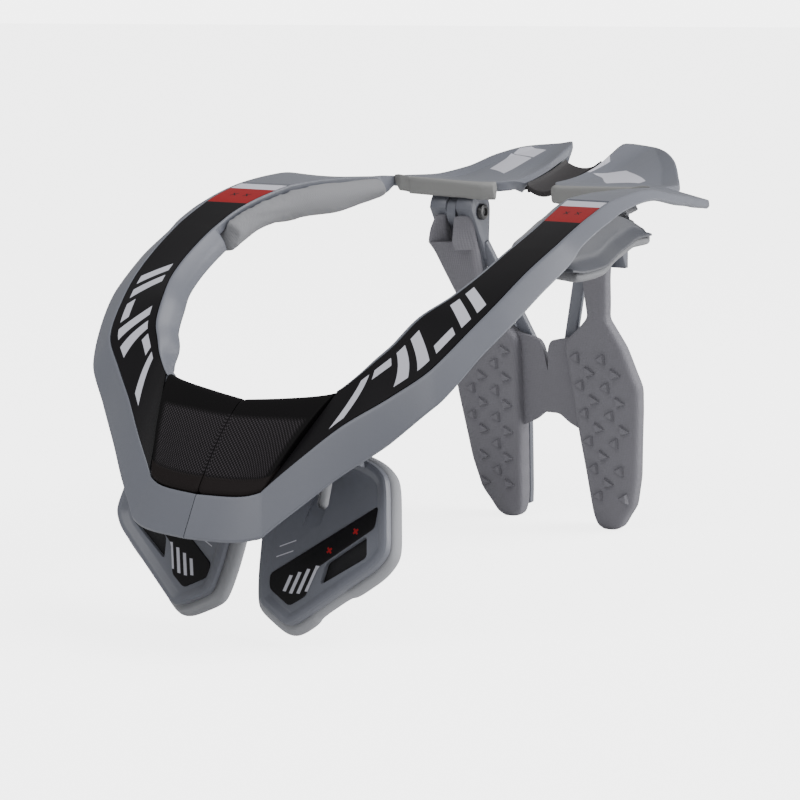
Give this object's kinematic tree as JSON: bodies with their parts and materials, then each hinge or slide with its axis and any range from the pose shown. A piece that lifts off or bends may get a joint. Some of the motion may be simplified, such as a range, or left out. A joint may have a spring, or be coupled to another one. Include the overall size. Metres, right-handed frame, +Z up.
{
  "type": "motocross neck brace",
  "caption": "Motocross neck brace: a split collar with padded shoulders, upturned rear wings, chest plates in front and a hinged, padded back strut.",
  "frame": {"origin": "middle of the brace's outline in plan, on the surface it stands on", "axes": "+Z up, +Y from the chest side to the back, +X to the wearer's left"},
  "size_m": [0.237, 0.3725, 0.2073],
  "materials": {
    "shell": "fine matte",
    "print": "satin film",
    "neck_mesh": "fine mesh",
    "pad_fabric": "woven",
    "bumper": "matte",
    "bridge": "matte",
    "strut_foam": "fine diagonal weave",
    "bolt": "black oxide"
  },
  "bodies": {
    "brace": {"collar_left": "shell", "collar_right": "shell", "top_band_left": "print", "top_band_right": "print", "neck_pad_left": "neck_mesh", "neck_pad_right": "neck_mesh", "shoulder_pad_left": "pad_fabric", "shoulder_pad_right": "pad_fabric", "shoulder_tray_left": "shell", "shoulder_tray_right": "shell", "rear_bumper_left": "bumper", "rear_bumper_right": "bumper", "chest_plate_left": "shell", "chest_plate_right": "shell", "chest_label_left": "print", "chest_label_right": "print", "chest_pad_left": "pad_fabric", "chest_pad_right": "pad_fabric", "hinge_lug_left": "shell", "hinge_lug_right": "shell", "hinge_bolt_left": "bolt", "hinge_bolt_right": "bolt", "rear_bridge": "bridge"},
    "strut": {"strut_frame": "shell", "strut_pad": "strut_foam"}
  },
  "joints": [
    {"name": "strut_hinge", "type": "hinge", "parent": "brace", "child": "strut", "pos_m": [0, 0.10318, 0.1729], "axis": [1, 0, 0], "range_deg": [-10, 30]}
  ]
}
